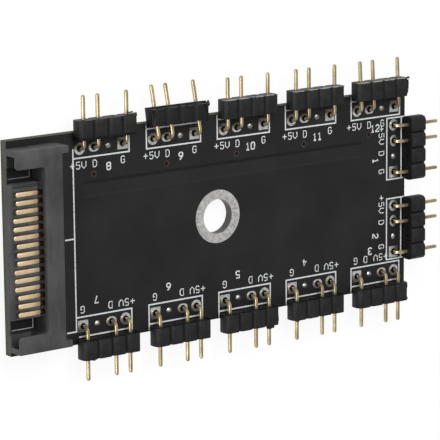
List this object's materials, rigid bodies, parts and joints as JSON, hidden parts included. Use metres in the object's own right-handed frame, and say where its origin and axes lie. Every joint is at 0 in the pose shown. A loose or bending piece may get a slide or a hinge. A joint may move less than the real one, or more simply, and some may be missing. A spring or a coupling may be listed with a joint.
{
  "type": "addressable rgb hub",
  "caption": "Black circuit board that splits drive power and a light signal to right-angle pin headers round three sides, with a mounting hole.",
  "frame": {"origin": "the mounting hole's axis at the board's component face", "axes": "+X along the board, away from the drive-power plug; +Y across the board; +Z out of the component face"},
  "size_m": [0.0821, 0.0432, 0.0063],
  "materials": {
    "black_board": "satin black solder mask over glass-filled epoxy, olive cut edges",
    "tinned_copper": "bright tinned copper",
    "white_print": "matt white ink",
    "solder": "bright solder, slightly rippled",
    "via_copper": "copper under solder mask",
    "plug_plastic": "fine-grained charcoal moulding",
    "contact_gold": "thin gold plating",
    "header_plastic": "satin black moulding",
    "pin_gold": "thin gold plating"
  },
  "bodies": {
    "root": {"board": "black_board", "mounting_hole_lining": "tinned_copper", "printed_lines": "white_print", "tinned_pads": "tinned_copper", "solder_joints": "solder", "vias": "via_copper", "plug_housing": "plug_plastic", "plug_contacts_1": "contact_gold", "plug_contacts_2": "contact_gold", "plug_contacts_3": "contact_gold", "plug_contacts_4": "contact_gold", "plug_contacts_5": "contact_gold", "header_1_body": "header_plastic", "header_2_body": "header_plastic", "header_3_body": "header_plastic", "header_4_body": "header_plastic", "header_5_body": "header_plastic", "header_6_body": "header_plastic", "header_7_body": "header_plastic", "header_8_body": "header_plastic", "header_9_body": "header_plastic", "header_10_body": "header_plastic", "header_11_body": "header_plastic", "header_12_body": "header_plastic", "header_1_pin_5v": "pin_gold", "header_1_pin_data": "pin_gold", "header_1_pin_ground": "pin_gold", "header_2_pin_5v": "pin_gold", "header_2_pin_data": "pin_gold", "header_2_pin_ground": "pin_gold", "header_3_pin_5v": "pin_gold", "header_3_pin_data": "pin_gold", "header_3_pin_ground": "pin_gold", "header_4_pin_5v": "pin_gold", "header_4_pin_data": "pin_gold", "header_4_pin_ground": "pin_gold", "header_5_pin_5v": "pin_gold", "header_5_pin_data": "pin_gold", "header_5_pin_ground": "pin_gold", "header_6_pin_5v": "pin_gold", "header_6_pin_data": "pin_gold", "header_6_pin_ground": "pin_gold", "header_7_pin_5v": "pin_gold", "header_7_pin_data": "pin_gold", "header_7_pin_ground": "pin_gold", "header_8_pin_5v": "pin_gold", "header_8_pin_data": "pin_gold", "header_8_pin_ground": "pin_gold", "header_9_pin_5v": "pin_gold", "header_9_pin_data": "pin_gold", "header_9_pin_ground": "pin_gold", "header_10_pin_5v": "pin_gold", "header_10_pin_data": "pin_gold", "header_10_pin_ground": "pin_gold", "header_11_pin_5v": "pin_gold", "header_11_pin_data": "pin_gold", "header_11_pin_ground": "pin_gold", "header_12_pin_5v": "pin_gold", "header_12_pin_data": "pin_gold", "header_12_pin_ground": "pin_gold"}
  },
  "joints": []
}
